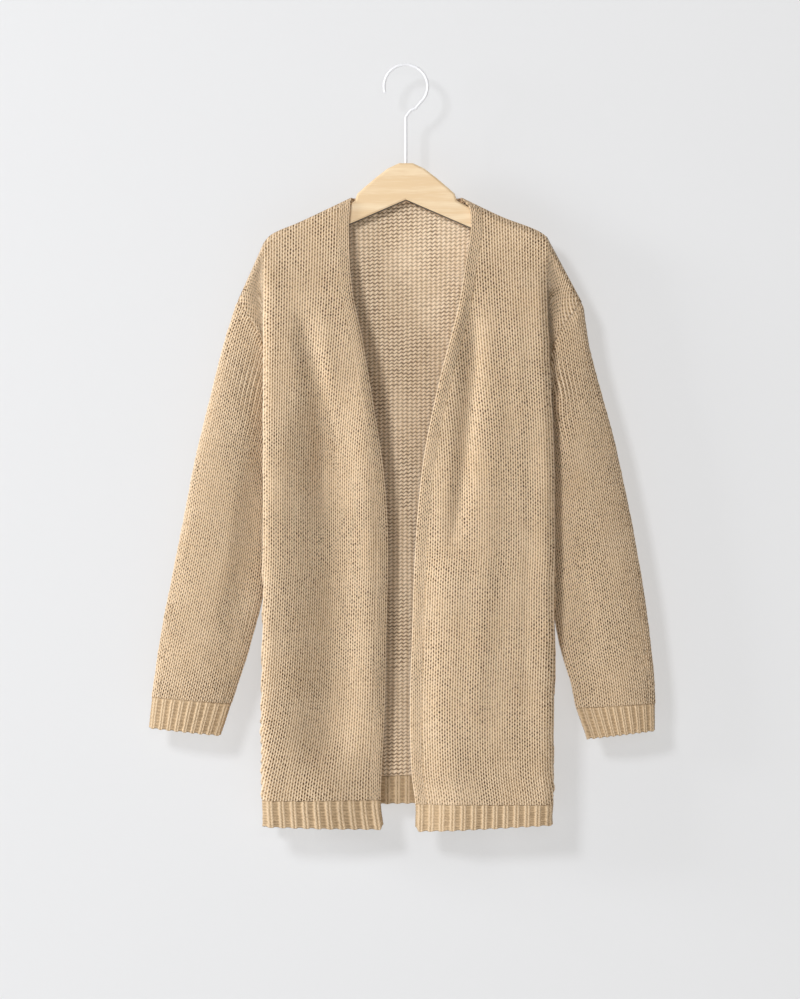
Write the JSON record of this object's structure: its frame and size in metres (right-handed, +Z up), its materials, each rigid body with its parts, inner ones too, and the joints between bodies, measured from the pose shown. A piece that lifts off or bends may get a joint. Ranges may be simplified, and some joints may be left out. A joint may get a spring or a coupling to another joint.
{
  "type": "long open-front cardigan on wooden hanger",
  "caption": "Long knitted open-front cardigan with drop shoulders, ribbed cuffs and ribbed hem, hanging flat on a flat wooden hanger with a wire hook.",
  "frame": {"origin": "inside of the hook's top, where the hook bears on a rail", "axes": "+Z up; the cardigan's fronts face -Y; +X is on the right of someone who looks at the fronts. Node names say left and right as that person sees them"},
  "size_m": [0.5594, 0.0528, 0.8447],
  "materials": {
    "stocking_stitch": "camel wool-blend stocking stitch, matt, slightly fuzzy",
    "ribbing": "camel wool-blend rib knit, matt",
    "hanger_wood": "pale lacquered wood, satin",
    "hook_wire": "bright plated steel wire"
  },
  "bodies": {
    "root": {"front_left": "stocking_stitch", "front_right": "stocking_stitch", "back": "stocking_stitch", "sleeve_left": "stocking_stitch", "sleeve_right": "stocking_stitch", "hem_rib_front_left": "ribbing", "hem_rib_front_right": "ribbing", "hem_rib_back": "ribbing", "cuff_left": "ribbing", "cuff_right": "ribbing", "hanger_body": "hanger_wood", "hanger_hook": "hook_wire"}
  },
  "joints": []
}
